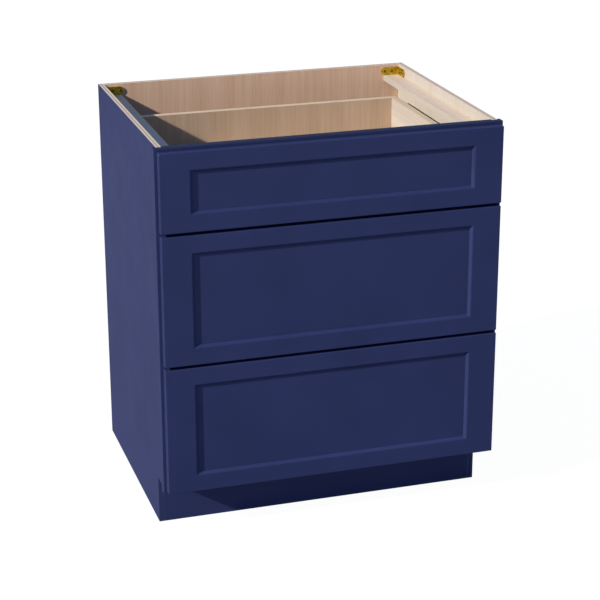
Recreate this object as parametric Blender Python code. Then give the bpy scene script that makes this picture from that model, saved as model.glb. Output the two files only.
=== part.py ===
"""Three-drawer bathroom vanity base cabinet: face frame, plywood box, shaker fronts.

Metres, +Z up. The cabinet stands on z = 0, its front faces -Y, and the origin is under the
middle of its outer box. Every piece is its own object; touching pieces keep a gap of `fit`.
"""
import math

import bmesh
import bpy
from mathutils import Matrix, Vector

INCH = 0.0254

# ---------------------------------------------------------------- driving sizes
width = 30 * INCH                # over the face frame
height = 34.5 * INCH             # floor to the top edges that carry the worktop
carcass_depth = 0.601            # front of the face frame to the back of the cabinet
fit = 0.0003                     # gap between pieces that touch

# carcass
side_thickness = 0.0127
back_thickness = 0.0127
bottom_thickness = 0.0127
frame_overhang = 0.0069          # the face frame stands out past the side panels
toe_height = 0.1081
toe_depth = 0.084                # from the front of the face frame
kick_thickness = 0.0127

# face frame
frame_thickness = 0.019
stile_width = 2 * INCH
top_rail_height = 2 * INCH
mid_rail_height = 0.035
bottom_rail_height = 1.5 * INCH
side_lap = 0.006                 # the side panel sits this deep in the stile's groove
dado_depth = 0.006               # the bottom panel sits this deep in the side panels

# side cleats and brass corner braces
cleat_width = 1.5 * INCH
cleat_thickness = 0.0127
cleat_drop = 1.0 * INCH          # below the top edges
brace_arm = 0.0445
brace_height = 0.019
brace_gauge = 0.0025
brace_hole_radius = 0.0024
brace_hole_inset = 0.0085        # from the round end of an arm
brace_hole_pitch = 0.018

# drawer fronts
front_thickness = 0.019
bumper_gap = 0.0015              # soft bumpers hold a closed front off the face frame
reveal = 0.25 * INCH             # face frame left showing round the fronts
front_gap = 0.007                # between one front and the next
top_front_height = 0.170
front_stile_width = 2.5 * INCH
front_rail_height = 1.5 * INCH
recess_depth = 0.006
bevel_width = 0.0065
panel_thickness = 0.00635
panel_groove = 0.008             # the panel runs this far into the frame's groove

# drawer boxes
box_board = 0.0159
box_length = 20 * INCH
box_side_clearance = 0.0051      # box to stile, each side
box_lift = 0.013                 # box above the rail under it
box_headroom = 0.0075            # box to the rail above it
box_bottom_thickness = 0.0052
box_bottom_recess = 0.0127       # the slides run in this space under the bottom
box_groove = 0.006

# undermount slides, three members a side
slide_gauge = 0.0012
slide_front_inset = 0.003        # rail's front end behind the front of the face frame
rail_lift = 0.0026               # rail's base above the face frame rail
rail_flange_gap = 0.0018         # rail's outer flange to the stile
rail_trough_rise = 0.0084
member_gap = 0.0008              # between members that run past each other
runner_wall_gap = 0.0007         # runner to the side of the drawer box
runner_width = 0.026
runner_skirt = 0.0134
middle_width = 0.0168
middle_foot = 0.0006             # middle member above the rail's base
bracket_gauge = 0.0014
bracket_overlap = 0.016          # rear bracket under the end of the rail
bracket_plate = 0.003
bracket_rise = 0.030
slide_end_gap = 0.0015

# ---------------------------------------------------------------- worked-out places
front_y = -(carcass_depth + bumper_gap + front_thickness) / 2
frame_y = front_y + front_thickness + bumper_gap
back_y = frame_y + carcass_depth
frame_back_y = frame_y + frame_thickness
back_inner_y = back_y - back_thickness
kick_y = frame_y + toe_depth

half_width = width / 2
side_outer_x = half_width - frame_overhang
side_inner_x = side_outer_x - side_thickness
stile_inner_x = half_width - stile_width
front_half_width = half_width - reveal

frame_bottom_z = toe_height
bottom_rail_top_z = frame_bottom_z + bottom_rail_height
top_rail_bottom_z = height - top_rail_height
fronts_top_z = height - reveal
fronts_bottom_z = frame_bottom_z + reveal
lower_front_height = (fronts_top_z - fronts_bottom_z - top_front_height - 2 * front_gap) / 2
upper_gap_z = fronts_top_z - top_front_height - front_gap / 2
lower_gap_z = upper_gap_z - lower_front_height - front_gap

box_front_y = front_y + front_thickness + fit
box_back_y = box_front_y + box_length
box_outer_x = stile_inner_x - box_side_clearance
box_inner_x = box_outer_x - box_board

# name: (front's bottom, front's top, opening's bottom, opening's top)
DRAWERS = {
    "top_drawer": (
        upper_gap_z + front_gap / 2,
        fronts_top_z,
        upper_gap_z + mid_rail_height / 2,
        top_rail_bottom_z,
    ),
    "middle_drawer": (
        lower_gap_z + front_gap / 2,
        upper_gap_z - front_gap / 2,
        lower_gap_z + mid_rail_height / 2,
        upper_gap_z - mid_rail_height / 2,
    ),
    "bottom_drawer": (
        fronts_bottom_z,
        lower_gap_z - front_gap / 2,
        bottom_rail_top_z,
        lower_gap_z - mid_rail_height / 2,
    ),
}
SIDES = {"left": -1, "right": 1}


# ---------------------------------------------------------------- materials
def linear(hex_colour):
    """sRGB hex to the linear values that a shader takes."""
    channels = [int(hex_colour[i:i + 2], 16) / 255 for i in (1, 3, 5)]
    return [c / 12.92 if c <= 0.04045 else ((c + 0.055) / 1.055) ** 2.4 for c in channels]


def plain_material(name, hex_colour, roughness, metallic=0.0):
    material = bpy.data.materials.new(name)
    material.use_nodes = True
    shader = material.node_tree.nodes["Principled BSDF"]
    shader.inputs["Base Color"].default_value = (*linear(hex_colour), 1.0)
    shader.inputs["Roughness"].default_value = roughness
    shader.inputs["Metallic"].default_value = metallic
    material.diffuse_color = (*linear(hex_colour), 1.0)
    return material


# ---------------------------------------------------------------- modelling helpers
def clear_scene():
    for old in list(bpy.data.objects):
        bpy.data.objects.remove(old, do_unlink=True)


def add_object(name, mesh_builder, material, parent=None, centre=None):
    """Make an object from a bmesh in world places, with its origin at its middle."""
    mesh = bpy.data.meshes.new(name)
    bmesh.ops.recalc_face_normals(mesh_builder, faces=mesh_builder.faces)
    corners = [v.co.copy() for v in mesh_builder.verts]
    if centre is None:
        low = Vector([min(c[i] for c in corners) for i in range(3)])
        high = Vector([max(c[i] for c in corners) for i in range(3)])
        centre = (low + high) / 2
    mesh_builder.transform(Matrix.Translation(-centre))
    mesh_builder.to_mesh(mesh)
    mesh_builder.free()
    part = bpy.data.objects.new(name, mesh)
    part.location = centre
    if material is not None:
        mesh.materials.append(material)
    bpy.context.scene.collection.objects.link(part)
    if parent is not None:
        part.parent = parent
        part.location = centre - parent.location
    return part


def block_bmesh(x, y, z):
    """A block between the two values of each axis, in either order."""
    size = [abs(span[1] - span[0]) for span in (x, y, z)]
    middle = [(span[0] + span[1]) / 2 for span in (x, y, z)]
    builder = bmesh.new()
    bmesh.ops.create_cube(builder, size=1.0, matrix=Matrix.LocRotScale(middle, None, size))
    return builder


def add_block(name, x, y, z, material, parent=None):
    return add_object(name, block_bmesh(x, y, z), material, parent)


def prism_bmesh(outline, axis, low, high):
    """Extrude a closed outline along X, Y or Z; its points are on the other two axes."""
    places = {"X": lambda a, b, h: (h, a, b), "Y": lambda a, b, h: (a, h, b), "Z": lambda a, b, h: (a, b, h)}
    place = places[axis]
    builder = bmesh.new()
    base = [builder.verts.new(place(a, b, low)) for a, b in outline]
    face = builder.faces.new(base)
    grown = bmesh.ops.extrude_face_region(builder, geom=[face])
    lift = Vector(place(0, 0, high - low))
    for item in grown["geom"]:
        if isinstance(item, bmesh.types.BMVert):
            item.co += lift
    return builder


def add_prism(name, outline, axis, low, high, material, parent=None):
    return add_object(name, prism_bmesh(outline, axis, low, high), material, parent)


def add_cutter(target, builder, operation="DIFFERENCE"):
    """Cut `target` by, or join it to, a shape that isn't itself a piece."""
    name = "cutter_%s_%d" % (target.name, len(target.modifiers))
    cutter = add_object(name, builder, None)
    cutter.hide_render = True
    cutter.display_type = "WIRE"
    boolean = target.modifiers.new(name, "BOOLEAN")
    boolean.operation = operation
    boolean.solver = "EXACT"
    boolean.object = cutter
    return cutter


def mirrored(outline, sign):
    """An outline drawn for the right side, turned over for the left."""
    return [(sign * a, b) for a, b in outline]


# ---------------------------------------------------------------- carcass
def build_side_panel(side, sign, material):
    """Plywood side with the toe notch at the front and a stopped dado for the bottom."""
    panel_front_y = frame_back_y - side_lap
    outline = [
        (kick_y, 0.0),
        (back_y, 0.0),
        (back_y, height),
        (panel_front_y, height),
        (panel_front_y, toe_height),
        (kick_y, toe_height),
    ]
    panel = add_prism(side + "_side_panel", outline, "X", sign * side_inner_x, sign * side_outer_x, material)
    dado_x = (sign * (side_inner_x - fit), sign * (side_inner_x + dado_depth))
    dado_y = (panel_front_y - fit, back_inner_y)
    dado_z = (bottom_rail_top_z - bottom_thickness - fit, bottom_rail_top_z + fit)
    add_cutter(panel, block_bmesh(dado_x, dado_y, dado_z))


def build_panels(ply, veneer, navy):
    reach = side_inner_x - fit
    add_block("back_panel", (-reach, reach), (back_inner_y, back_y), (0.0, height), veneer)
    bottom_reach = side_inner_x + dado_depth - fit
    add_block(
        "bottom_panel",
        (-bottom_reach, bottom_reach),
        (frame_back_y + fit, back_inner_y - fit),
        (bottom_rail_top_z - bottom_thickness, bottom_rail_top_z),
        ply,
    )
    kick_top = bottom_rail_top_z - bottom_thickness - fit
    add_block("toe_kick_board", (-reach, reach), (kick_y, kick_y + kick_thickness), (0.0, kick_top), navy)


def build_stile(side, sign, material):
    """Face frame upright, grooved at the back for the side panel's front edge."""
    groove_outer = side_outer_x + fit
    groove_inner = side_inner_x - fit
    groove_y = frame_back_y - side_lap - fit
    outline = [
        (stile_inner_x, frame_y),
        (half_width, frame_y),
        (half_width, frame_back_y),
        (groove_outer, frame_back_y),
        (groove_outer, groove_y),
        (groove_inner, groove_y),
        (groove_inner, frame_back_y),
        (stile_inner_x, frame_back_y),
    ]
    add_prism(side + "_stile", mirrored(outline, sign), "Z", frame_bottom_z, height, material)


def build_frame_rails(material):
    reach = stile_inner_x - fit
    heights = {
        "top_rail": (top_rail_bottom_z, height),
        "upper_mid_rail": (upper_gap_z - mid_rail_height / 2, upper_gap_z + mid_rail_height / 2),
        "lower_mid_rail": (lower_gap_z - mid_rail_height / 2, lower_gap_z + mid_rail_height / 2),
        "bottom_rail": (frame_bottom_z, bottom_rail_top_z),
    }
    for name, z in heights.items():
        add_block(name, (-reach, reach), (frame_y, frame_back_y), z, material)


def build_cleat(side, sign, material):
    """Flat strip along the top of a side panel, screwed up into the worktop."""
    outer = side_inner_x - fit
    top = height - cleat_drop
    add_block(
        side + "_top_cleat",
        (sign * outer, sign * (outer - cleat_width)),
        (frame_back_y + fit, back_inner_y - fit),
        (top - cleat_thickness, top),
        material,
    )


def brace_arm_outline(start, end, low, high):
    """One arm seen flat on: square at the corner, half round at its far end."""
    radius = (high - low) / 2
    turn = 1 if end > start else -1
    middle = (low + high) / 2
    arc = []
    for step in range(13):
        angle = -math.pi / 2 + math.pi * step / 12
        arc.append((end - turn * radius + turn * radius * math.cos(angle), middle + radius * math.sin(angle)))
    return [(start, low)] + arc + [(start, high)]


def hole_bmesh(place, axis, radius, length):
    turns = {"X": Matrix.Rotation(math.pi / 2, 4, "Y"), "Y": Matrix.Rotation(math.pi / 2, 4, "X")}
    builder = bmesh.new()
    bmesh.ops.create_cone(
        builder,
        cap_ends=True,
        segments=20,
        radius1=radius,
        radius2=radius,
        depth=length,
        matrix=Matrix.Translation(place) @ turns[axis],
    )
    return builder


def build_corner_brace(side, sign, material):
    """Bent brass strip in a back corner, one arm on the back and one on the side."""
    low = height - cleat_drop + fit
    high = low + brace_height
    middle = (low + high) / 2
    wall_x = sign * (side_inner_x - fit)
    wall_y = back_inner_y - fit
    along_back = brace_arm_outline(wall_x, wall_x - sign * brace_arm, low, high)
    brace = add_prism(side + "_corner_brace", along_back, "Y", wall_y - brace_gauge, wall_y, material)
    along_side = brace_arm_outline(wall_y, wall_y - brace_arm, low, high)
    inner_x = wall_x - sign * brace_gauge
    add_cutter(brace, prism_bmesh(along_side, "X", min(wall_x, inner_x), max(wall_x, inner_x)), "UNION")
    for row in range(2):
        reach = brace_arm - brace_hole_inset - row * brace_hole_pitch
        on_back = (wall_x - sign * reach, wall_y - brace_gauge / 2, middle)
        on_side = (wall_x - sign * brace_gauge / 2, wall_y - reach, middle)
        add_cutter(brace, hole_bmesh(on_back, "Y", brace_hole_radius, 4 * brace_gauge))
        add_cutter(brace, hole_bmesh(on_side, "X", brace_hole_radius, 4 * brace_gauge))


# ---------------------------------------------------------------- drawer fronts
def build_front_frame(name, bottom_z, top_z, material, parent):
    """Stiles and rails of a front: a bevelled sight edge and a groove for the panel."""
    panel_front = recess_depth - fit
    panel_back = recess_depth + panel_thickness + fit
    stile_run = front_stile_width + bevel_width
    rail_run = front_rail_height + bevel_width
    groove = panel_groove + fit
    # Each corner of the section: measured from the outer edge or from the sight edge, how far
    # out from that edge, and how deep behind the face.
    profile = [
        ("outer", 0.0, 0.0),
        ("face", -bevel_width, 0.0),
        ("face", 0.0, panel_front),
        ("face", -groove, panel_front),
        ("face", -groove, panel_back),
        ("face", 0.0, panel_back),
        ("face", 0.0, front_thickness),
        ("outer", 0.0, front_thickness),
    ]
    builder = bmesh.new()
    rings = []
    for kind, offset, depth in profile:
        in_x = 0.0 if kind == "outer" else stile_run + offset
        in_z = 0.0 if kind == "outer" else rail_run + offset
        x = front_half_width - in_x
        low = bottom_z + in_z
        high = top_z - in_z
        y = front_y + depth
        corners = [(-x, y, low), (x, y, low), (x, y, high), (-x, y, high)]
        rings.append([builder.verts.new(corner) for corner in corners])
    for index, ring in enumerate(rings):
        after = rings[(index + 1) % len(rings)]
        for corner in range(4):
            following = (corner + 1) % 4
            builder.faces.new([ring[corner], ring[following], after[following], after[corner]])
    add_object(name, builder, material, parent)


def build_front(drawer, bottom_z, top_z, material, parent):
    build_front_frame(drawer + "_front_frame", bottom_z, top_z, material, parent)
    in_x = front_stile_width + bevel_width - panel_groove
    in_z = front_rail_height + bevel_width - panel_groove
    panel_x = front_half_width - in_x
    panel_y = (front_y + recess_depth, front_y + recess_depth + panel_thickness)
    panel_z = (bottom_z + in_z, top_z - in_z)
    add_block(drawer + "_front_panel", (-panel_x, panel_x), panel_y, panel_z, material, parent)


# ---------------------------------------------------------------- drawer boxes
def grooved_outline(inner, outer, low, high):
    """Board's cross section, with the bottom's groove in its inner face."""
    groove_low = low + box_bottom_recess - fit
    groove_high = low + box_bottom_recess + box_bottom_thickness + fit
    turn = 1 if outer > inner else -1
    deep = inner + turn * box_groove
    return [
        (inner, low),
        (outer, low),
        (outer, high),
        (inner, high),
        (inner, groove_high),
        (deep, groove_high),
        (deep, groove_low),
        (inner, groove_low),
    ]


def build_box(drawer, low, high, ply, veneer, parent):
    """Drawer box: two sides, front and back between them, and a bottom in grooves."""
    for side, sign in SIDES.items():
        outline = grooved_outline(sign * box_inner_x, sign * box_outer_x, low, high)
        add_prism("%s_box_%s" % (drawer, side), outline, "Y", box_front_y, box_back_y, ply, parent)
    reach = box_inner_x - fit
    front_inner_y = box_front_y + box_board
    back_inner = box_back_y - box_board
    front_outline = grooved_outline(front_inner_y, box_front_y, low, high)
    back_outline = grooved_outline(back_inner, box_back_y, low, high)
    add_prism(drawer + "_box_front", front_outline, "X", -reach, reach, ply, parent)
    back = add_prism(drawer + "_box_back", back_outline, "X", -reach, reach, veneer, parent)
    notch_inner_x = box_inner_x - runner_wall_gap - runner_width - member_gap
    notch_z = (low - fit, low + box_bottom_recess)
    notch_y = (back_inner - fit, box_back_y + fit)
    for sign in SIDES.values():
        notch_x = (sign * notch_inner_x, sign * (box_inner_x + fit))
        add_cutter(back, block_bmesh(notch_x, notch_y, notch_z))
    panel_x = box_inner_x + box_groove - fit
    panel_y = (front_inner_y - box_groove + fit, back_inner + box_groove - fit)
    panel_z = (low + box_bottom_recess, low + box_bottom_recess + box_bottom_thickness)
    add_block(drawer + "_box_bottom", (-panel_x, panel_x), panel_y, panel_z, ply, parent)


# ---------------------------------------------------------------- undermount slides
def slide_places(opening_z):
    """Heights and widths that the three members of a slide share, for the right side."""
    base_low = opening_z + rail_lift
    base_high = base_low + slide_gauge
    runner_top = opening_z + box_lift + box_bottom_recess - fit
    runner_outer = box_inner_x - runner_wall_gap
    runner_inner = runner_outer - runner_width
    centre = (runner_outer + runner_inner) / 2
    return {
        "base_low": base_low,
        "base_high": base_high,
        "runner_top": runner_top,
        "runner_outer": runner_outer,
        "runner_inner": runner_inner,
        "centre": centre,
        "middle_outer": centre + middle_width / 2,
        "middle_inner": centre - middle_width / 2,
    }


def rail_outline(p):
    """Cabinet member: base with a trough for the middle member and a screw flange outside."""
    flange_outer = stile_inner_x - rail_flange_gap
    flange_inner = flange_outer - slide_gauge
    trough_top = p["base_high"] + rail_trough_rise - slide_gauge
    wall_a = p["middle_outer"] + member_gap
    wall_b = p["middle_inner"] - member_gap
    return [
        (wall_b - slide_gauge, p["base_low"]),
        (flange_outer, p["base_low"]),
        (flange_outer, p["runner_top"] - slide_gauge),
        (flange_inner, p["runner_top"] - slide_gauge),
        (flange_inner, p["base_high"]),
        (wall_a + slide_gauge, p["base_high"]),
        (wall_a + slide_gauge, trough_top),
        (wall_a, trough_top),
        (wall_a, p["base_high"]),
        (wall_b, p["base_high"]),
        (wall_b, trough_top),
        (wall_b - slide_gauge, trough_top),
    ]


def channel_outline(inner, outer, low, top):
    """Channel open at the bottom."""
    return [
        (inner, low),
        (inner, top),
        (outer, top),
        (outer, low),
        (outer - slide_gauge, low),
        (outer - slide_gauge, top - slide_gauge),
        (inner + slide_gauge, top - slide_gauge),
        (inner + slide_gauge, low),
    ]


def build_bracket(name, sign, p, rail_end_y, material):
    """Rear bracket: a tray under the rail's end, two cheeks and a plate on the back panel."""
    inner = p["middle_inner"] - member_gap - slide_gauge
    outer = stile_inner_x - rail_flange_gap
    tray_z = (p["base_low"] - fit - bracket_gauge, p["base_low"] - fit)
    plate_y = back_inner_y - fit
    cheek_top = p["runner_top"] - slide_gauge
    x = (sign * inner, sign * outer)
    bracket = add_block(name, x, (rail_end_y - bracket_overlap, plate_y), tray_z, material)
    cheek_y = (rail_end_y + fit, plate_y)
    cheek_z = (tray_z[0], cheek_top)
    for edge, into in ((inner, bracket_gauge), (outer, -bracket_gauge)):
        cheek_x = (sign * edge, sign * (edge + into))
        add_cutter(bracket, block_bmesh(cheek_x, cheek_y, cheek_z), "UNION")
    plate_z = (tray_z[0], tray_z[0] + bracket_rise)
    add_cutter(bracket, block_bmesh(x, (plate_y - bracket_plate, plate_y), plate_z), "UNION")


def build_slides(drawer, opening_z, steel, nylon, drawer_parent, middle_parent):
    rail_start_y = frame_y + slide_front_inset
    rail_end_y = box_back_y + slide_end_gap
    box_inside_y = box_front_y + box_board + slide_end_gap
    p = slide_places(opening_z)
    middle_low = p["base_high"] + middle_foot
    middle_top = p["runner_top"] - slide_gauge - middle_foot
    runner_low = p["runner_top"] - runner_skirt
    rail = rail_outline(p)
    middle = channel_outline(p["middle_inner"], p["middle_outer"], middle_low, middle_top)
    runner = channel_outline(p["runner_inner"], p["runner_outer"], runner_low, p["runner_top"])
    for side, sign in SIDES.items():
        name = "%s_%s_slide" % (drawer, side)
        add_prism(name + "_rail", mirrored(rail, sign), "Y", rail_start_y, rail_end_y, steel)
        add_prism(name + "_middle", mirrored(middle, sign), "Y", box_inside_y, box_back_y, steel, middle_parent)
        add_prism(name + "_runner", mirrored(runner, sign), "Y", box_inside_y, box_back_y, steel, drawer_parent)
        build_bracket(name + "_bracket", sign, p, rail_end_y, nylon)


# ---------------------------------------------------------------- whole cabinet
def add_axis(name, place):
    """Empty on a sliding joint's axis; the pieces that move together hang from it."""
    axis = bpy.data.objects.new(name, None)
    axis.empty_display_size = 0.05
    axis.location = place
    bpy.context.scene.collection.objects.link(axis)
    return axis


def build_carcass(navy, ply, veneer, brass):
    for side, sign in SIDES.items():
        build_side_panel(side, sign, navy)
        build_stile(side, sign, navy)
        build_cleat(side, sign, ply)
        build_corner_brace(side, sign, brass)
    build_panels(ply, veneer, navy)
    build_frame_rails(navy)


def build_drawer(drawer, sizes, navy, ply, veneer, steel, nylon):
    front_low, front_high, opening_low, opening_high = sizes
    middle_z = (front_low + front_high) / 2
    drawer_axis = add_axis(drawer + "_axis", Vector((0.0, front_y, middle_z)))
    middle_axis = add_axis(drawer + "_slide_axis", Vector((0.0, front_y, opening_low)))
    build_front(drawer, front_low, front_high, navy, drawer_axis)
    build_box(drawer, opening_low + box_lift, opening_high - box_headroom, ply, veneer, drawer_axis)
    build_slides(drawer, opening_low, steel, nylon, drawer_axis, middle_axis)


def main():
    clear_scene()
    navy = plain_material("navy_paint", "#2d3459", 0.45)
    ply = plain_material("maple_plywood", "#e2d2b8", 0.55)
    veneer = plain_material("tan_veneer", "#b0906c", 0.55)
    brass = plain_material("brass", "#a8902c", 0.35, 1.0)
    steel = plain_material("zinc_plated_steel", "#a9adb0", 0.35, 1.0)
    nylon = plain_material("grey_nylon", "#8a8c8e", 0.5)
    build_carcass(navy, ply, veneer, brass)
    for drawer, sizes in DRAWERS.items():
        build_drawer(drawer, sizes, navy, ply, veneer, steel, nylon)
    bpy.context.view_layer.update()


main()
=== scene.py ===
"""Bathroom vanity base cabinet, navy lacquer outside and clear-coated maple inside, three drawers."""
import math

import bpy
from mathutils import Matrix, Quaternion, Vector


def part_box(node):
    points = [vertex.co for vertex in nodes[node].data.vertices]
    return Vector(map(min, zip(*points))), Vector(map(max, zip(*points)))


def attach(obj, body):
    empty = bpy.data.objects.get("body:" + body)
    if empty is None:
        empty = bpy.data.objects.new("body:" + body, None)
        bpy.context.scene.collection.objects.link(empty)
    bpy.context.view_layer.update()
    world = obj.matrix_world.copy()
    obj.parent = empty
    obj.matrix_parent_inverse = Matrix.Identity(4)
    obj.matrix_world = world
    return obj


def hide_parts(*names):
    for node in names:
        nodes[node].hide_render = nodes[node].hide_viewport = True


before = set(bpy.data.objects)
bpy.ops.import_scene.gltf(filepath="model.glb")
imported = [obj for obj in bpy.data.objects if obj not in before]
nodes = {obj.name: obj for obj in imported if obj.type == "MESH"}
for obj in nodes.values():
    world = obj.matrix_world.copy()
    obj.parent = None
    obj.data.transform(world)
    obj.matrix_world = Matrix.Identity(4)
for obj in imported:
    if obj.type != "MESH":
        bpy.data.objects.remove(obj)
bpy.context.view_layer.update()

MM = 0.001
DRAWERS = ("top_drawer", "middle_drawer", "bottom_drawer")
SIDES = {"left": -1, "right": 1}


# ---------------------------------------------------------------- places read from the cabinet
panel_low, panel_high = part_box("left_side_panel")
side_outer_x = -panel_low.x
side_inner_x = -panel_high.x
back_low, back_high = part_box("back_panel")
frame_top_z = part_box("top_rail")[1].z


# ---------------------------------------------------------------- shaders
def linear(hex_colour):
    """sRGB hex as the linear colour that a shader takes."""
    channels = [int(hex_colour[i:i + 2], 16) / 255 for i in (1, 3, 5)]
    low_or_high = [c / 12.92 if c <= 0.04045 else ((c + 0.055) / 1.055) ** 2.4 for c in channels]
    return (*low_or_high, 1.0)


def set_stops(colour_ramp, stops):
    """Colours at their places on the ramp, each (place, hex)."""
    marks = colour_ramp.elements
    while len(marks) < len(stops):
        marks.new(0.5)
    for mark, (place, colour) in zip(marks, stops):
        mark.position = place
        mark.color = linear(colour)


def add_node(tree, kind, settings=None):
    """One shader node with its settings and links.

    A setting goes to the socket of that name or number, or else to the node itself. One that is a
    socket of another node is linked, and "stops" are a colour ramp's.
    """
    node = tree.nodes.new("ShaderNode" + kind)
    for name, value in (settings or {}).items():
        if name == "stops":
            set_stops(node.color_ramp, value)
        elif isinstance(value, bpy.types.NodeSocket):
            tree.links.new(value, node.inputs[name])
        elif isinstance(name, int) or name in node.inputs:
            node.inputs[name].default_value = value
        else:
            setattr(node, name, value)
    return node


def new_finish(name, **shader_values):
    """A material with its Principled shader; keyword values are uniform, so they sit on its sockets."""
    material = bpy.data.materials.new(name)
    material.use_nodes = True
    tree = material.node_tree
    tree.nodes.clear()
    shader = add_node(tree, "BsdfPrincipled")
    for socket, value in shader_values.items():
        shader.inputs[socket.replace("_", " ").title().replace("Ior", "IOR")].default_value = value
    add_node(tree, "OutputMaterial", {"Surface": shader.outputs["BSDF"]})
    return material, tree, shader


def dress_shader(tree, shader, colour, height, depth_mm, strength=0.5, roughness=None):
    """The shader's colour and relief, and its roughness where that is a pattern too."""
    relief = {"Height": height, "Distance": depth_mm * MM, "Strength": strength}
    bump = add_node(tree, "Bump", relief)
    tree.links.new(colour, shader.inputs["Base Color"])
    tree.links.new(bump.outputs["Normal"], shader.inputs["Normal"])
    if roughness:
        tree.links.new(roughness, shader.inputs["Roughness"])


def own_place(tree, output="Object"):
    """x, y and z of a point on the piece, or of its normal, as sockets."""
    place = add_node(tree, "TexCoord")
    return add_node(tree, "SeparateXYZ", {"Vector": place.outputs[output]}).outputs


def stretched_noise(tree, size_mm, detail, roughness, seed):
    """Noise whose lumps are size_mm = (x, y, z) across, from the piece's own place."""
    place = add_node(tree, "TexCoord")
    mapping = add_node(tree, "Mapping", {
        "Vector": place.outputs["Object"],
        "Location": (seed, seed * 1.7, seed * 2.3),
        "Scale": tuple(1.0 / (s * MM) for s in size_mm),
    })
    return add_node(tree, "TexNoise", {
        "Vector": mapping.outputs["Vector"], "Scale": 1.0, "Detail": detail, "Roughness": roughness,
    }).outputs


# ---------------------------------------------------------------- finishes
LACQUER_GLOSS = 0.3


def lacquer_colour(tree):
    """Navy catalysed lacquer: even, with a faint cloudiness from the spray passes."""
    clouds = stretched_noise(tree, (140, 140, 140), 3.0, 0.5, 3.1)
    flecks = stretched_noise(tree, (5, 5, 5), 2.0, 0.5, 1.3)
    stops = [(0.3, "#20274a"), (0.7, "#242a4f")]
    base = add_node(tree, "ValToRGB", {"Fac": clouds["Fac"], "stops": stops})
    return add_node(tree, "MixRGB", {
        "blend_type": "SOFT_LIGHT", "Fac": 0.10, "Color1": base.outputs["Color"], "Color2": flecks["Color"],
    }).outputs["Color"]


def lacquer_peel(tree):
    """Height of the spray's orange peel: lumps of 2.5 mm, drawn coarser than the real 1 mm to show."""
    return stretched_noise(tree, (2.5, 2.5, 2.5), 2.0, 0.5, 5.0)["Fac"]


def lacquer_roughness(tree):
    """Satin that is a little duller where the spray lay thin."""
    gloss = stretched_noise(tree, (60, 60, 60), 3.0, 0.5, 7.7)
    return add_node(tree, "MapRange", {
        "Value": gloss["Fac"], "From Min": 0.3, "From Max": 0.7, "To Min": 0.40, "To Max": 0.50,
    }).outputs["Result"]


def navy_lacquer(name, painted_shade_above=None):
    """Satin catalysed lacquer sprayed on maple: even colour, soft sheen, faint orange peel.

    Faces at the frame's top height, under the worktop, are mixed to a darker navy: painted shade on these
    upward faces, not a change in the paint.
    """
    material, tree, shader = new_finish(name, ior=1.5, specular_ior_level=LACQUER_GLOSS)
    colour = lacquer_colour(tree)
    # painted shade: faces at the frame's top height are mixed to a darker navy
    if painted_shade_above:
        height = own_place(tree)["Z"]
        top = add_node(tree, "MapRange", {
            "Value": height, "From Min": painted_shade_above - 0.6 * MM, "From Max": painted_shade_above - 0.3 * MM,
        })
        colour = add_node(tree, "MixRGB", {
            "Fac": top.outputs["Result"], "Color1": colour, "Color2": linear("#12162f"),
        }).outputs["Color"]
    dress_shader(tree, shader, colour, lacquer_peel(tree), 0.04, 0.6, lacquer_roughness(tree))
    return material


def along(axis, across, length):
    """Size in mm of a lump of grain along x, y and z, when the grain runs along one axis."""
    return tuple(length if a == axis else across for a in "xyz")


def veneer_colour(tree, axis, dark, middle, pale, seed):
    """Sliced veneer: bands, finer streaks inside them, and short pores, all along the grain.

    Returns its colour and its pores.
    """
    bands = stretched_noise(tree, along(axis, 40, 1500), 2.0, 0.5, seed)["Fac"]
    streaks = stretched_noise(tree, along(axis, 4.5, 190), 4.0, 0.65, seed + 4.0)["Fac"]
    pores = stretched_noise(tree, along(axis, 1.6, 26), 2.0, 0.5, seed + 9.0)["Fac"]
    base = add_node(tree, "ValToRGB", {"Fac": bands, "stops": [(0.30, dark), (0.5, middle), (0.72, pale)]})
    fine = add_node(tree, "ValToRGB", {"Fac": streaks, "stops": [(0.28, dark), (0.55, middle), (0.8, pale)]})
    wood = add_node(tree, "MixRGB", {
        "Fac": 0.68, "Color1": base.outputs["Color"], "Color2": fine.outputs["Color"],
    }).outputs["Color"]
    speck = add_node(tree, "MapRange", {"Value": pores, "From Min": 0.66, "From Max": 0.80})
    darker = add_node(tree, "MixRGB", {
        "blend_type": "MULTIPLY", "Fac": 0.22, "Color1": wood, "Color2": linear(dark),
    })
    colour = add_node(tree, "MixRGB", {
        "Fac": speck.outputs["Result"], "Color1": wood, "Color2": darker.outputs["Color"],
    })
    return colour.outputs["Color"], pores


def wood_finish(name, axis, tones, upward_highlight_tones, seed, roughness=0.5):
    """Clear-coated wood with its grain along one axis.

    Faces that point up take paler tones of their own, a painted highlight for light from above, and sawn
    ends are darker, as they drink the coat.
    """
    material, tree, shader = new_finish(name, ior=1.5, roughness=roughness)
    face, pores = veneer_colour(tree, axis, *tones, seed)
    upward_highlight = veneer_colour(tree, axis, *upward_highlight_tones, seed + 2.0)[0]
    normal = own_place(tree, "Normal")
    # painted highlight: faces that point up are mixed to paler tones
    facing_up = add_node(tree, "MapRange", {"Value": normal["Z"], "From Min": 0.6, "From Max": 0.8})
    colour = add_node(tree, "MixRGB", {
        "Fac": facing_up.outputs["Result"], "Color1": face, "Color2": upward_highlight,
    }).outputs["Color"]
    if axis != "z":
        facing = add_node(tree, "Math", {"operation": "ABSOLUTE", 0: normal[axis.upper()]})
        sawn = add_node(tree, "MapRange", {"Value": facing.outputs[0], "From Min": 0.7, "From Max": 0.9})
        colour = add_node(tree, "MixRGB", {
            "Fac": sawn.outputs["Result"], "Color1": colour, "Color2": end_grain(tree, tones[0], seed),
        }).outputs["Color"]
    dress_shader(tree, shader, colour, pores, 0.05)
    return material


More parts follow.
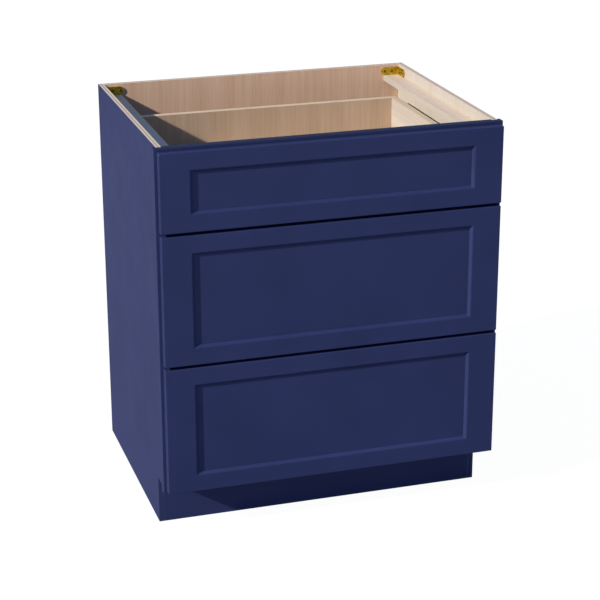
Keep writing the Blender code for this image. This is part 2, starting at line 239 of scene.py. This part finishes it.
def end_grain(tree, tone, seed):
    """Sawn across: growth rings as soft bands 3 mm apart, dotted with open pores."""
    rings = stretched_noise(tree, (60, 60, 3), 2.0, 0.5, seed + 12.0)["Fac"]
    pores = stretched_noise(tree, (0.9, 0.9, 0.9), 2.0, 0.6, seed + 15.0)["Fac"]
    bands = add_node(tree, "ValToRGB", {"Fac": rings, "stops": [(0.35, "#8a7762"), (0.65, "#a08d77")]})
    dots = add_node(tree, "MapRange", {"Value": pores, "From Min": 0.60, "From Max": 0.72})
    toned = add_node(tree, "MixRGB", {"Fac": 0.3, "Color1": bands.outputs["Color"], "Color2": linear(tone)})
    return add_node(tree, "MixRGB", {
        "Fac": dots.outputs["Result"], "Color1": toned.outputs["Color"], "Color2": linear("#6f5d4b"),
    }).outputs["Color"]


def layered_edge(tree, depth, low, high, plies=7):
    """Plywood seen end-on: thin plies across the board, a darker glue line at the middle."""
    share = add_node(tree, "MapRange", {"Value": depth, "From Min": low, "From Max": high}).outputs["Result"]
    turns = add_node(tree, "Math", {"operation": "MULTIPLY", 0: share, 1: plies * math.pi})
    wave = add_node(tree, "Math", {"operation": "SINE", 0: turns.outputs[0]})
    ply = add_node(tree, "MapRange", {"Value": wave.outputs[0], "From Min": -0.7, "From Max": 0.7})
    fibres = stretched_noise(tree, (2.2, 30, 2.2), 3.0, 0.6, 2.0)["Fac"]
    pale = add_node(tree, "ValToRGB", {"Fac": fibres, "stops": [(0.3, "#b5a595"), (0.7, "#c5b4a3")]})
    dark = add_node(tree, "ValToRGB", {"Fac": fibres, "stops": [(0.3, "#a99888"), (0.7, "#b8a796")]})
    cross_ply = add_node(tree, "MixRGB", {
        "Fac": 0.55, "Color1": pale.outputs["Color"], "Color2": dark.outputs["Color"],
    })
    core = add_node(tree, "MixRGB", {
        "Fac": ply.outputs["Result"], "Color1": pale.outputs["Color"], "Color2": cross_ply.outputs["Color"],
    })
    off_centre = add_node(tree, "Math", {"operation": "SUBTRACT", 0: share, 1: 0.5})
    from_middle = add_node(tree, "Math", {"operation": "ABSOLUTE", 0: off_centre.outputs[0]})
    line = add_node(tree, "MapRange", {
        "Value": from_middle.outputs[0], "From Min": 0.045, "From Max": 0.085, "To Min": 1.0, "To Max": 0.0,
    })
    return add_node(tree, "MixRGB", {
        "Fac": line.outputs["Result"], "Color1": core.outputs["Color"], "Color2": linear("#786b64"),
    }).outputs["Color"]


# Three tones of each wood, from its darkest grain to its palest; the sets for faces that point up are paler:
# painted highlight.
PANEL_MAPLE = ("#9a9186", "#a1998f", "#a8a198")
BOARD_MAPLE = ("#938a80", "#9c948b", "#a69f96")
CLEAT_UPWARD_HIGHLIGHT = ("#ae9d8b", "#bbaa98", "#c4b4a2")
CLEAT_MAPLE = ("#928a80", "#99928a", "#a19a92")
BACK_VENEER = ("#b8957a", "#c7a78d", "#d2b59d")
BOX_VENEER = ("#9b8269", "#a99078", "#b59d86")
BOARD_UPWARD_HIGHLIGHT = ("#b09c86", "#bdaa94", "#c9b7a3")


def painted_ply(side):
    """Side panel: lacquered outside and on its front edges, clear-coated maple inside.

    Its plies are bare along the top, the back and the foot, where other things cover them.
    """
    name = side + "_lacquered_maple_ply"
    material, tree, shader = new_finish(name, ior=1.5, specular_ior_level=LACQUER_GLOSS)
    place = own_place(tree)
    sign = float(SIDES[side])
    outward = add_node(tree, "Math", {"operation": "MULTIPLY", 0: place["X"], 1: sign}).outputs[0]
    maple, pores = veneer_colour(tree, "z", *PANEL_MAPLE, seed=11.0 + sign)
    plies = layered_edge(tree, outward, side_inner_x, side_outer_x)
    top, rear, foot = (
        add_node(tree, "MapRange", {"Value": place[axis], "From Min": lacquered, "From Max": bare})
        for axis, lacquered, bare in (
            ("Z", panel_high.z - 0.7 * MM, panel_high.z - 0.4 * MM),
            ("Y", panel_high.y - 0.7 * MM, panel_high.y - 0.4 * MM),
            ("Z", 0.7 * MM, 0.4 * MM),
        )
    )
    top_or_rear = add_node(tree, "Math", {
        "operation": "MAXIMUM", 0: top.outputs["Result"], 1: rear.outputs["Result"],
    })
    unpainted = add_node(tree, "Math", {
        "operation": "MAXIMUM", 0: top_or_rear.outputs[0], 1: foot.outputs["Result"],
    })
    core = add_node(tree, "MixRGB", {
        "Fac": unpainted.outputs[0], "Color1": lacquer_colour(tree), "Color2": plies,
    })
    inside = add_node(tree, "MapRange", {
        "Value": outward, "From Min": side_inner_x + 0.05 * MM, "From Max": side_inner_x + 0.15 * MM,
    })
    wood = add_node(tree, "MixRGB", {
        "Fac": inside.outputs["Result"], "Color1": maple, "Color2": core.outputs["Color"],
    })
    outside = add_node(tree, "MapRange", {
        "Value": outward, "From Min": side_outer_x - 0.7 * MM, "From Max": side_outer_x - 0.5 * MM,
    }).outputs["Result"]
    colour, height, roughness = (
        add_node(tree, "MixRGB", {"Fac": outside, "Color1": clear, "Color2": sprayed}).outputs["Color"]
        for clear, sprayed in (
            (wood.outputs["Color"], lacquer_colour(tree)),
            (pores, lacquer_peel(tree)),
            ((0.55, 0.55, 0.55, 1.0), lacquer_roughness(tree)),
        )
    )
    dress_shader(tree, shader, colour, height, 0.04, roughness=roughness)
    return material


def back_ply():
    """Back panel: tan veneer with upright grain on both faces, bare plies along its edges."""
    material, tree, shader = new_finish("tan_veneered_ply", ior=1.5, roughness=0.5)
    depth = own_place(tree)["Y"]
    veneer, pores = veneer_colour(tree, "z", *BACK_VENEER, seed=21.0)
    core = layered_edge(tree, depth, back_low.y, back_high.y)
    past_front_veneer = add_node(tree, "MapRange", {
        "Value": depth, "From Min": back_low.y + 0.5 * MM, "From Max": back_low.y + 0.7 * MM,
    })
    in_back_veneer = add_node(tree, "MapRange", {
        "Value": depth, "From Min": back_high.y - 0.7 * MM, "From Max": back_high.y - 0.5 * MM,
    })
    to_core = add_node(tree, "MixRGB", {
        "Fac": past_front_veneer.outputs["Result"], "Color1": veneer, "Color2": core,
    })
    wood = add_node(tree, "MixRGB", {
        "Fac": in_back_veneer.outputs["Result"], "Color1": to_core.outputs["Color"], "Color2": veneer,
    })
    dress_shader(tree, shader, wood.outputs["Color"], pores, 0.05)
    return material


def metal_finish(name, dark, pale, roughness, size_mm=(9, 9, 9), seed=0.0):
    """Plated steel: slight mottling in colour and gloss from the plating bath."""
    material, tree, shader = new_finish(name, metallic=1.0)
    mottle = stretched_noise(tree, size_mm, 4.0, 0.6, seed)["Fac"]
    colour = add_node(tree, "ValToRGB", {"Fac": mottle, "stops": [(0.3, dark), (0.7, pale)]})
    gloss = add_node(tree, "MapRange", {
        "Value": mottle, "From Min": 0.3, "From Max": 0.7,
        "To Min": roughness - 0.06, "To Max": roughness + 0.08,
    }).outputs["Result"]
    scuffs = stretched_noise(tree, (1.5, 1.5, 1.5), 3.0, 0.6, seed + 2.0)["Fac"]
    dress_shader(tree, shader, colour.outputs["Color"], scuffs, 0.02, roughness=gloss)
    return material


def moulded_finish(name, dark, pale, roughness, seed=0.0):
    """Moulded plastic or rubber: one colour with a fine spark-eroded grain."""
    material, tree, shader = new_finish(name, ior=1.5)
    cloud = stretched_noise(tree, (18, 18, 18), 2.0, 0.5, seed)["Fac"]
    colour = add_node(tree, "ValToRGB", {"Fac": cloud, "stops": [(0.3, dark), (0.7, pale)]})
    grain = stretched_noise(tree, (0.8, 0.8, 0.8), 2.0, 0.5, seed + 1.0)["Fac"]
    gloss = add_node(tree, "MapRange", {
        "Value": grain, "To Min": roughness - 0.08, "To Max": roughness + 0.08,
    }).outputs["Result"]
    dress_shader(tree, shader, colour.outputs["Color"], grain, 0.03, roughness=gloss)
    return material


lacquer = navy_lacquer("navy_satin_lacquer")
# the face frame's lacquer, with painted shade on its top faces
frame_lacquer = navy_lacquer("navy_satin_lacquer_on_frame", painted_shade_above=frame_top_z)
side_ply = {side: painted_ply(side) for side in SIDES}
veneered_back = back_ply()
# the boards and the cleats take paler tones on faces that point up: painted highlight
tan_board = wood_finish("tan_veneered_board", "z", BOX_VENEER, BOARD_UPWARD_HIGHLIGHT, 31.0)
maple_lengthwise = wood_finish("clear_maple_along_y", "y", BOARD_MAPLE, BOARD_UPWARD_HIGHLIGHT, 41.0)
maple_crosswise = wood_finish("clear_maple_along_x", "x", BOARD_MAPLE, BOARD_UPWARD_HIGHLIGHT, 51.0)
maple_cleat = wood_finish("clear_maple_cleat", "y", CLEAT_MAPLE, CLEAT_UPWARD_HIGHLIGHT, 61.0)
brass = metal_finish("brass_plated_steel", "#ae9226", "#d8bc42", 0.42, seed=1.0)
brass_screw = metal_finish("brass_plated_screw_steel", "#6d5a1c", "#8f7a2c", 0.34, seed=7.0)
zinc = metal_finish("bright_zinc_plated_steel", "#9a9fa3", "#b9bec2", 0.30, (14, 40, 14), 2.0)
screw_steel = metal_finish("yellow_zinc_screw_steel", "#8d7d45", "#b3a361", 0.32, seed=3.0)
nylon = moulded_finish("grey_moulded_nylon", "#7b7e81", "#8c8f92", 0.5, 4.0)
clip_plastic = moulded_finish("orange_moulded_acetal", "#c2571a", "#cf6424", 0.42, 5.0)
bumper_rubber = moulded_finish("clear_grey_polyurethane", "#b9bcbc", "#cacccb", 0.25, 6.0)


# ---------------------------------------------------------------- finishes onto the cabinet's pieces
WELD_DISTANCE = 0.02 * MM


def ease(piece, round_mm):
    """Eased arrises, as a cutter or sander leaves them."""
    arris = piece.modifiers.new("arris", "BEVEL")
    arris.width = round_mm * MM
    arris.segments = 2
    arris.limit_method = "ANGLE"
    arris.angle_limit = math.radians(35)


def dress(name, material, round_mm=0.5):
    """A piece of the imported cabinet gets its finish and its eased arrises."""
    piece = nodes[name]
    piece.data.materials.clear()
    piece.data.materials.append(material)
    weld = piece.modifiers.new("weld", "WELD")
    weld.merge_threshold = WELD_DISTANCE
    ease(piece, round_mm)


for side in SIDES:
    dress(side + "_side_panel", side_ply[side], 0.4)
    dress(side + "_stile", frame_lacquer, 0.7)
    dress(side + "_top_cleat", maple_cleat, 0.5)
    dress(side + "_corner_brace", brass, 0.35)
dress("back_panel", veneered_back, 0.4)
dress("bottom_panel", maple_crosswise, 0.4)
dress("toe_kick_board", lacquer, 0.6)
for drawer in DRAWERS:
    dress(drawer + "_front_frame", lacquer, 1.5)
    dress(drawer + "_front_panel", lacquer, 0.3)
    dress(drawer + "_box_bottom", maple_crosswise, 0.3)
    for side in SIDES:
        for member in ("rail", "middle", "runner"):
            dress("%s_%s_slide_%s" % (drawer, side, member), zinc, 0.25)
        dress("%s_%s_slide_bracket" % (drawer, side), nylon, 0.4)


# ---------------------------------------------------------------- modelling by hand
def deselect():
    if bpy.context.object and bpy.context.object.mode != "OBJECT":
        bpy.ops.object.mode_set(mode="OBJECT")
    bpy.ops.object.select_all(action="DESELECT")


def make_active(piece):
    deselect()
    piece.select_set(True)
    bpy.context.view_layer.objects.active = piece


def pick_faces(test):
    """Edit mode, with just the faces selected whose centre and normal pass the test."""
    bpy.ops.object.mode_set(mode="EDIT")
    bpy.ops.mesh.select_mode(type="FACE")
    bpy.ops.mesh.select_all(action="DESELECT")
    bpy.ops.object.mode_set(mode="OBJECT")
    for face in bpy.context.object.data.polygons:
        face.select = test(face.center, face.normal)
    bpy.ops.object.mode_set(mode="EDIT")


def extrude(x=0.0, y=0.0, z=0.0):
    bpy.ops.mesh.extrude_region_move(TRANSFORM_OT_translate={"value": (x, y, z)})


def boolean(piece, other, operation="DIFFERENCE"):
    """Cuts the piece with the other or joins them; the other goes."""
    make_active(piece)
    step = piece.modifiers.new("boolean", "BOOLEAN")
    step.operation = operation
    step.solver = "EXACT"
    step.object = other
    bpy.ops.object.modifier_apply(modifier=step.name)
    bpy.data.objects.remove(other)


def block(low, high):
    """A block between two corners, to be shaped further; its place is in its mesh."""
    deselect()
    middle = [(a + b) / 2 for a, b in zip(low, high)]
    size = [b - a for a, b in zip(low, high)]
    bpy.ops.mesh.primitive_cube_add(size=1.0, location=middle, scale=size)
    bpy.ops.object.transform_apply(location=True, rotation=True, scale=True)
    return bpy.context.object


def finish_piece(piece, name, material, body):
    make_active(piece)
    bpy.ops.object.shade_smooth_by_angle(angle=math.radians(35))
    piece.name = name
    piece.data.name = name
    piece.data.materials.clear()
    piece.data.materials.append(material)
    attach(piece, body)


def set_out(template, name, seats, material, body):
    """Copies of a small part at its seats, each (place, facing, turn), joined into one piece.

    A template stands on z = 0 and faces +Z; facing is where its +Z goes, and turn is about that.
    """
    copies = []
    for place, facing, turn in seats:
        copy = template.copy()
        copy.data = template.data.copy()
        bpy.context.scene.collection.objects.link(copy)
        copy.rotation_mode = "QUATERNION"
        upright = Vector((0, 0, 1)).rotation_difference(Vector(facing))
        copy.rotation_quaternion = upright @ Quaternion((0, 0, 1), turn)
        copy.location = place
        copies.append(copy)
    make_active(copies[0])
    for copy in copies:
        copy.select_set(True)
    if len(copies) > 1:
        bpy.ops.object.join()
    bpy.ops.object.transform_apply(location=True, rotation=True, scale=True)
    finish_piece(bpy.context.object, name, material, body)


# ---------------------------------------------------------------- small parts, each modelled once
def upright_disc(radius, height, vertices):
    """A disc on z = 0, to be shaped further."""
    deselect()
    middle = (0, 0, height / 2)
    bpy.ops.mesh.primitive_cylinder_add(vertices=vertices, radius=radius, depth=height, location=middle)
    bpy.ops.object.transform_apply(location=True, rotation=True, scale=True)
    return bpy.context.object


def pan_head_screw(radius, height, shank=2.0 * MM):
    """Screw on z = 0 facing +Z: rounded rim, shank below, and a cross recess in its head."""
    screw = upright_disc(radius, height, 24)
    pick_faces(lambda centre, normal: normal.z > 0.9)
    bpy.ops.mesh.bevel(offset=0.7 * height, segments=4, affect="EDGES")
    pick_faces(lambda centre, normal: normal.z < -0.9)
    bpy.ops.mesh.inset(thickness=0.5 * radius)
    extrude(z=-shank)
    bpy.ops.object.mode_set(mode="OBJECT")
    slot_width, slot_length, slot_floor = 0.13 * radius, 0.48 * radius, 0.45 * height
    for half_x, half_y in ((slot_width, slot_length), (slot_length, slot_width)):
        boolean(screw, block((-half_x, -half_y, slot_floor), (half_x, half_y, 2 * height)))
    return screw


def bumper_dome(radius, height):
    """Self-adhesive bumper on z = 0: a low dome."""
    bumper = upright_disc(radius, height, 28)
    pick_faces(lambda centre, normal: normal.z > 0.9)
    bpy.ops.mesh.bevel(offset=0.8 * height, segments=4, affect="EDGES")
    bpy.ops.object.mode_set(mode="OBJECT")
    return bumper


CLIP_WIDTH = 24 * MM
CLIP_LENGTH = 30 * MM            # of the body, without its lever
CLIP_DEPTH = 9.5 * MM
CLIP_ARRIS = 0.5 * MM


def locking_clip():
    """Front locking clip: a body that hangs under z = 0 from y = 0 back, and the lever that frees it."""
    lever_step, lever_length = 2.2 * MM, 12 * MM
    tip_step, tip_length = 0.6 * MM, 3 * MM
    pocket_rim, pocket_depth = 2.4 * MM, 3.5 * MM
    clip = block((-CLIP_WIDTH / 2, 0, -CLIP_DEPTH), (CLIP_WIDTH / 2, CLIP_LENGTH, 0))
    make_active(clip)
    # the lever reaches back from the body, narrower and thinner
    pick_faces(lambda centre, normal: normal.y > 0.9)
    bpy.ops.mesh.inset(thickness=lever_step)
    extrude(y=lever_length)
    pick_faces(lambda centre, normal: normal.y > 0.9 and centre.y > CLIP_LENGTH + lever_length / 2)
    bpy.ops.mesh.inset(thickness=tip_step)
    extrude(y=tip_length)
    # a shallow pocket in the underside, as moulded parts have
    pick_faces(lambda centre, normal: normal.z < -0.9 and centre.y < CLIP_LENGTH)
    bpy.ops.mesh.inset(thickness=pocket_rim)
    extrude(z=pocket_depth)
    bpy.ops.object.mode_set(mode="OBJECT")
    arris = clip.modifiers.new("arris", "BEVEL")
    arris.width = CLIP_ARRIS
    arris.segments = 2
    arris.limit_method = "ANGLE"
    bpy.ops.object.modifier_apply(modifier=arris.name)
    return clip


templates = {
    "brace_screw": pan_head_screw(3.5 * MM, 1.5 * MM),
    "wood_screw": pan_head_screw(3.6 * MM, 1.8 * MM),
    "front_screw": pan_head_screw(5.0 * MM, 2.0 * MM),
    "bumper": bumper_dome(4.5 * MM, 1.2 * MM),
    "clip": locking_clip(),
}


# ---------------------------------------------------------------- small parts at their places
def screw_braces():
    """Two screws in each arm of a brace, through its holes into the side and the back."""
    farther_hole, pitch, sheet = 36 * MM, 18 * MM, 2.5 * MM
    for side, sign in SIDES.items():
        low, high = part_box(side + "_corner_brace")
        wall_x = high.x if sign > 0 else low.x
        height = (low.z + high.z) / 2
        seats = []
        for step in range(2):
            from_corner = farther_hole - step * pitch
            side_seat = (wall_x - sign * sheet, high.y - from_corner, height)
            back_seat = (wall_x - sign * from_corner, high.y - sheet, height)
            seats.append((side_seat, (-sign, 0, 0), 0.4 + step))
            seats.append((back_seat, (0, -1, 0), 1.1 + step))
        name = side + "_brace_screws"
        set_out(templates["brace_screw"], name, seats, brass_screw, "cabinet")


def screw_slides(drawer):
    """Two screws through the plate of each rear bracket into the back panel."""
    plate, half_apart, drop = 3.0 * MM, 11 * MM, 6.5 * MM
    seats = []
    for side in SIDES:
        low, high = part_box("%s_%s_slide_bracket" % (drawer, side))
        middle = (low.x + high.x) / 2
        for step in (-1, 1):
            place = (middle + step * half_apart, high.y - plate, high.z - drop)
            seats.append((place, (0, -1, 0), 0.6 * step))
    name = drawer + "_bracket_screws"
    set_out(templates["wood_screw"], name, seats, screw_steel, "cabinet")


def screw_front(drawer):
    """Four screws from inside the box that hold the drawer front on, no two of them turned alike."""
    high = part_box(drawer + "_box_front")[1]
    floor_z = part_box(drawer + "_box_bottom")[1].z
    spread = 0.62 * high.x
    heights = (floor_z + 0.25 * (high.z - floor_z), floor_z + 0.75 * (high.z - floor_z))
    seats = [
        ((x, high.y, z), (0, 1, 0), 0.5 + 7 * x + 3 * z)
        for x in (-spread, spread) for z in heights
    ]
    name = drawer + "_front_screws"
    set_out(templates["front_screw"], name, seats, screw_steel, drawer)


def place_bumpers(drawer):
    """One bumper near each corner of the front's back face; it meets the frame when the drawer shuts."""
    low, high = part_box(drawer + "_front_frame")
    inset_x, inset_z = 22 * MM, 12 * MM
    seats = [
        ((x, high.y, z), (0, 1, 0), 0.0)
        for x in (low.x + inset_x, high.x - inset_x) for z in (low.z + inset_z, high.z - inset_z)
    ]
    name = drawer + "_bumpers"
    set_out(templates["bumper"], name, seats, bumper_rubber, drawer)


def place_clip(drawer, side):
    """Front locking clip under the box, beside the runner and behind the box's front board."""
    beside_runner, behind_front, under_floor = 0.8 * MM, 0.5 * MM, 0.4 * MM
    sign = SIDES[side]
    runner_low, runner_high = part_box("%s_%s_slide_runner" % (drawer, side))
    front_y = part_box(drawer + "_box_front")[1].y + behind_front
    top_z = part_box(drawer + "_box_bottom")[0].z - under_floor
    outer = (runner_low.x if sign > 0 else -runner_high.x) - beside_runner
    seat = ((sign * (outer - CLIP_WIDTH / 2), front_y, top_z), (0, 0, 1), 0.0)
    name = "%s_%s_front_clip" % (drawer, side)
    set_out(templates["clip"], name, [seat], clip_plastic, drawer)


# ---------------------------------------------------------------- dovetailed drawer boxes
PIN_PITCH = 24 * MM
PIN_NARROW = 5.0 * MM            # at the end of the side
PIN_WIDE = 9.6 * MM              # at the inner face of the front or the back
JOINT_GAP = 0.15 * MM


def merged_copy(node_name):
    """A packed board with its loose triangles merged, ready for more modelling."""
    piece = nodes[node_name].copy()
    piece.data = nodes[node_name].data.copy()
    bpy.context.scene.collection.objects.link(piece)
    piece.parent = None
    piece.matrix_world = Matrix()
    make_active(piece)
    bpy.ops.object.mode_set(mode="EDIT")
    bpy.ops.mesh.select_all(action="SELECT")
    bpy.ops.mesh.remove_doubles(threshold=WELD_DISTANCE)
    bpy.ops.mesh.dissolve_limited(angle_limit=math.radians(1))
    bpy.ops.object.mode_set(mode="OBJECT")
    return piece


def pins(low, high, wide_end, grow):
    """Row of dovetail pins that fill a corner's box; wide_end is +1 or -1 along y."""
    count = round((high.z - low.z) / PIN_PITCH)
    pitch = (high.z - low.z) / count
    half = PIN_NARROW / 2 + grow
    first = low.z + pitch
    pin = block((low.x, low.y - grow, first - half), (high.x, high.y + grow, first + half))
    make_active(pin)
    pick_faces(lambda centre, normal: normal.y * wide_end > 0.9)
    bpy.ops.transform.resize(
        value=(1, 1, (PIN_WIDE / 2 + grow) / half), center_override=((low.x + high.x) / 2, low.y, first)
    )
    bpy.ops.object.mode_set(mode="OBJECT")
    row = pin.modifiers.new("row", "ARRAY")
    row.count = count - 1
    row.use_relative_offset = False
    row.use_constant_offset = True
    row.constant_offset_displace = (0, 0, pitch)
    bpy.ops.object.modifier_apply(modifier=row.name)
    return pin


def dovetail_box(drawer):
    """Sides cut for tails, and the front and the back with pins that show as end grain at the sides."""
    finishes = {
        "left": (maple_lengthwise, "maple_ply"), "right": (maple_lengthwise, "maple_ply"),
        "front": (maple_crosswise, "maple_ply"), "back": (tan_board, "tan_veneer"),
    }
    boards = {part: merged_copy("%s_box_%s" % (drawer, part)) for part in finishes}
    overlap = 0.5 * MM
    for part, wide_end in (("front", 1), ("back", -1)):
        low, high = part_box("%s_box_%s" % (drawer, part))
        for side, sign in SIDES.items():
            side_low, side_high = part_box("%s_box_%s" % (drawer, side))
            outer = side_high.x if sign > 0 else side_low.x
            inner = high.x if sign > 0 else low.x
            near, far = sorted((inner - sign * overlap, outer))
            seat = pins(Vector((near, low.y, low.z)), Vector((far, high.y, high.z)), wide_end, 0.0)
            boolean(boards[part], seat, "UNION")
            near, far = sorted((inner - sign * overlap, outer + sign * overlap))
            socket = pins(Vector((near, low.y, low.z)), Vector((far, high.y, high.z)), wide_end, JOINT_GAP)
            boolean(boards[side], socket)
    for part, piece in boards.items():
        material, slot = finishes[part]
        finish_piece(piece, "%s_box_%s_dovetailed" % (drawer, part), material, drawer)
        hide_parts("%s_box_%s" % (drawer, part))
        ease(piece, 0.35)


# ---------------------------------------------------------------- pocket-screwed rails of the face frame
POCKET_SLOPE = math.radians(15)
POCKET_RADIUS = 4.75 * MM
POCKET_SHOULDER = 15 * MM        # of wood left between a pocket's floor and the stile


def bore_pocket(rail, shoulder, slant):
    """A pocket along the slant, from its shoulder inside the rail out through the rail's back."""
    length = 70 * MM
    deselect()
    bpy.ops.mesh.primitive_cylinder_add(
        vertices=28, radius=POCKET_RADIUS, depth=length, location=shoulder + slant * length / 2,
        rotation=slant.to_track_quat("Z", "Y").to_euler(),
    )
    boolean(rail, bpy.context.object)


def pocket_rail(node_name):
    """Two pockets at each end of the rail, each with its pan-head screw on the shoulder."""
    low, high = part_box(node_name)
    rail = merged_copy(node_name)
    middle, quarter = (low.z + high.z) / 2, (high.z - low.z) / 4
    seats = []
    for end_x, inward in ((low.x, 1), (high.x, -1)):
        slant = Vector((inward * math.cos(POCKET_SLOPE), math.sin(POCKET_SLOPE), 0))
        for height in (middle - quarter, middle + quarter):
            shoulder = Vector((end_x, (low.y + high.y) / 2, height)) + POCKET_SHOULDER * slant
            bore_pocket(rail, shoulder, slant)
            seats.append((shoulder, slant, 5 * height))
    finish_piece(rail, node_name + "_pocketed", frame_lacquer, "cabinet")
    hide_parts(node_name)
    ease(rail, 0.6)
    name = node_name + "_screws"
    set_out(templates["wood_screw"], name, seats, screw_steel, "cabinet")


for rail in ("top_rail", "upper_mid_rail", "lower_mid_rail", "bottom_rail"):
    pocket_rail(rail)
screw_braces()
for drawer in DRAWERS:
    dovetail_box(drawer)
    screw_slides(drawer)
    screw_front(drawer)
    place_bumpers(drawer)
    for side in SIDES:
        place_clip(drawer, side)
for template in templates.values():
    bpy.data.objects.remove(template)


# ---------------------------------------------------------------- camera, lights and floor
CAMERA_PLACE = (-1.1302, -3.6846, 1.8176)
CAMERA_LENS_MM = 106.8
SENSOR_MM = 36.0
KEY_DIRECTION = (0.828, 0.259, -0.497)
SKY_FILL = (0.165, 0.255, 0.46, 1.0)
SOFTBOX_HEIGHT = 0.7
SOFTBOX_MIDDLE_Z = 0.42          # below the cabinet's top, so that none of it falls inside


def place_camera():
    """Standing to the left of the cabinet and looking down on it."""
    yaw, pitch, roll = 0.302, 0.35, -0.002
    ahead = Vector((math.sin(yaw) * math.cos(pitch), math.cos(yaw) * math.cos(pitch), -math.sin(pitch)))
    level = Vector((math.cos(yaw), -math.sin(yaw), 0.0))
    upright = level.cross(ahead)
    right = math.cos(roll) * level + math.sin(roll) * upright
    up = right.cross(ahead)
    camera = bpy.data.objects.new("camera", bpy.data.cameras.new("camera"))
    bpy.context.scene.collection.objects.link(camera)
    turn = Matrix((right, up, -ahead)).transposed().to_4x4()
    camera.matrix_world = Matrix.Translation(CAMERA_PLACE) @ turn
    camera.data.sensor_width = SENSOR_MM
    camera.data.lens = CAMERA_LENS_MM
    camera.data.clip_end = 60.0
    bpy.context.scene.camera = camera


def place_sun():
    """A broad studio key from the left, above and a little in front."""
    sun = bpy.data.objects.new("key_light", bpy.data.lights.new("key_light", "SUN"))
    bpy.context.scene.collection.objects.link(sun)
    sun.rotation_mode = "QUATERNION"
    sun.rotation_quaternion = Vector(KEY_DIRECTION).to_track_quat("-Z", "Y")
    sun.data.energy = 7.0
    sun.data.angle = math.radians(1.6)
    sun.data.color = (1.0, 0.94, 0.85)


def low_softbox(name, x, y, width, power, colour):
    """A strip softbox level with the cabinet and facing its middle, to fill the outside only."""
    lamp = bpy.data.objects.new(name, bpy.data.lights.new(name, "AREA"))
    bpy.context.scene.collection.objects.link(lamp)
    lamp.location = (x, y, SOFTBOX_MIDDLE_Z)
    lamp.rotation_mode = "QUATERNION"
    lamp.rotation_quaternion = Vector((-x, -y, 0.0)).to_track_quat("-Z", "Y")
    lamp.data.shape = "RECTANGLE"
    lamp.data.size = width
    lamp.data.size_y = SOFTBOX_HEIGHT
    lamp.data.energy = power
    lamp.data.color = colour
    lamp.visible_camera = False
    lamp.visible_glossy = False


def place_softboxes():
    cool, even = (0.64, 0.80, 1.0), (0.88, 0.94, 1.0)
    low_softbox("front_fill", -0.3, -2.5, width=3.0, power=20.0, colour=cool)
    low_softbox("left_fill", -2.6, 0.0, width=2.4, power=12.0, colour=even)
    low_softbox("right_fill", 2.8, 0.2, width=2.4, power=34.0, colour=even)
    low_softbox("back_fill", 0.3, 2.8, width=3.0, power=28.0, colour=even)


def fill_sky():
    """Cool even fill; the view itself meets a white backdrop."""
    world = bpy.data.worlds.new("studio")
    world.use_nodes = True
    tree = world.node_tree
    tree.nodes.clear()
    seen = add_node(tree, "Background", {"Color": (1.0, 1.0, 1.0, 1.0), "Strength": 1.0})
    fill = add_node(tree, "Background", {"Color": SKY_FILL, "Strength": 1.0})
    ray = add_node(tree, "LightPath").outputs["Is Camera Ray"]
    both = add_node(tree, "MixShader", {"Fac": ray, 1: fill.outputs[0], 2: seen.outputs[0]})
    add_node(tree, "OutputWorld", {"Surface": both.outputs[0]})
    bpy.context.scene.world = world


def lay_floor():
    """Wide pale floor; to the eye it is nearly white, with a soft shadow where the cabinet stands."""
    deselect()
    bpy.ops.mesh.primitive_plane_add(size=40.0, location=(0.0, 0.0, 0.0))
    floor = bpy.context.object
    floor.name = "floor"
    material = bpy.data.materials.new("pale_floor")
    material.use_nodes = True
    tree = material.node_tree
    tree.nodes.clear()
    dull = add_node(tree, "BsdfDiffuse", {"Color": (0.11, 0.11, 0.11, 1.0)})
    thin = add_node(tree, "BsdfDiffuse", {"Color": (0.04, 0.04, 0.04, 1.0)})
    glow = add_node(tree, "Emission", {"Color": (0.97, 0.97, 0.97, 1.0), "Strength": 1.0})
    pale = add_node(tree, "AddShader", {0: thin.outputs[0], 1: glow.outputs[0]})
    ray = add_node(tree, "LightPath").outputs["Is Camera Ray"]
    both = add_node(tree, "MixShader", {"Fac": ray, 1: dull.outputs[0], 2: pale.outputs[0]})
    add_node(tree, "OutputMaterial", {"Surface": both.outputs[0]})
    floor.data.materials.append(material)


place_camera()
place_sun()
place_softboxes()
fill_sky()
lay_floor()
bpy.context.scene.view_settings.view_transform = "Standard"
